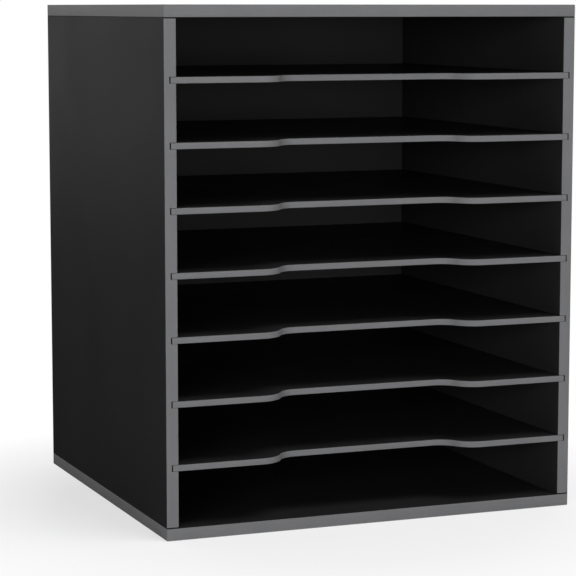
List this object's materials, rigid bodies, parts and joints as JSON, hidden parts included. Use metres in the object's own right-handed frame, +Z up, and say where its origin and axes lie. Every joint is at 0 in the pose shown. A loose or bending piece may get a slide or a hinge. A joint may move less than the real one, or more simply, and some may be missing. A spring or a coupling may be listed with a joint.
{
  "type": "desktop paper rack",
  "caption": "Open-front desktop rack for scrapbook paper: board carcass with grooved sides, back panel and thin notched shelves that slide out to the front.",
  "frame": {"origin": "centre of the footprint, on the surface that the rack stands on", "axes": "+X to the right seen from the front, +Y towards the back panel, +Z up"},
  "size_m": [0.35, 0.3224, 0.412],
  "materials": {
    "black_board": "matt black foil on fibreboard",
    "back_board": "matt black foil on thin fibreboard",
    "shelf_board": "matt black foil on thin fibreboard",
    "edge_band": "matt grey edge band",
    "screw_steel": "black oxide",
    "dowel_wood": "plain beech"
  },
  "bodies": {
    "carcass": {"top_board": "black_board", "top_front_band": "edge_band", "top_rear_band": "edge_band", "top_left_band": "edge_band", "top_right_band": "edge_band", "top_screws": "screw_steel", "top_dowels": "dowel_wood", "bottom_board": "black_board", "bottom_front_band": "edge_band", "bottom_rear_band": "edge_band", "bottom_left_band": "edge_band", "bottom_right_band": "edge_band", "bottom_screws": "screw_steel", "bottom_dowels": "dowel_wood", "left_side_board": "black_board", "left_front_band": "edge_band", "left_rear_band": "edge_band", "right_side_board": "black_board", "right_front_band": "edge_band", "right_rear_band": "edge_band", "back_panel": "back_board"},
    "shelf_1": {"shelf_1": "shelf_board", "shelf_1_band": "edge_band"},
    "shelf_2": {"shelf_2": "shelf_board", "shelf_2_band": "edge_band"},
    "shelf_3": {"shelf_3": "shelf_board", "shelf_3_band": "edge_band"},
    "shelf_4": {"shelf_4": "shelf_board", "shelf_4_band": "edge_band"},
    "shelf_5": {"shelf_5": "shelf_board", "shelf_5_band": "edge_band"},
    "shelf_6": {"shelf_6": "shelf_board", "shelf_6_band": "edge_band"},
    "shelf_7": {"shelf_7": "shelf_board", "shelf_7_band": "edge_band"}
  },
  "joints": [
    {"name": "shelf_1_slide", "type": "slide", "parent": "carcass", "child": "shelf_1", "axis": [0, -1, 0], "range_m": [0, 0.283]},
    {"name": "shelf_2_slide", "type": "slide", "parent": "carcass", "child": "shelf_2", "axis": [0, -1, 0], "range_m": [0, 0.283]},
    {"name": "shelf_3_slide", "type": "slide", "parent": "carcass", "child": "shelf_3", "axis": [0, -1, 0], "range_m": [0, 0.283]},
    {"name": "shelf_4_slide", "type": "slide", "parent": "carcass", "child": "shelf_4", "axis": [0, -1, 0], "range_m": [0, 0.283]},
    {"name": "shelf_5_slide", "type": "slide", "parent": "carcass", "child": "shelf_5", "axis": [0, -1, 0], "range_m": [0, 0.283]},
    {"name": "shelf_6_slide", "type": "slide", "parent": "carcass", "child": "shelf_6", "axis": [0, -1, 0], "range_m": [0, 0.283]},
    {"name": "shelf_7_slide", "type": "slide", "parent": "carcass", "child": "shelf_7", "axis": [0, -1, 0], "range_m": [0, 0.283]}
  ]
}
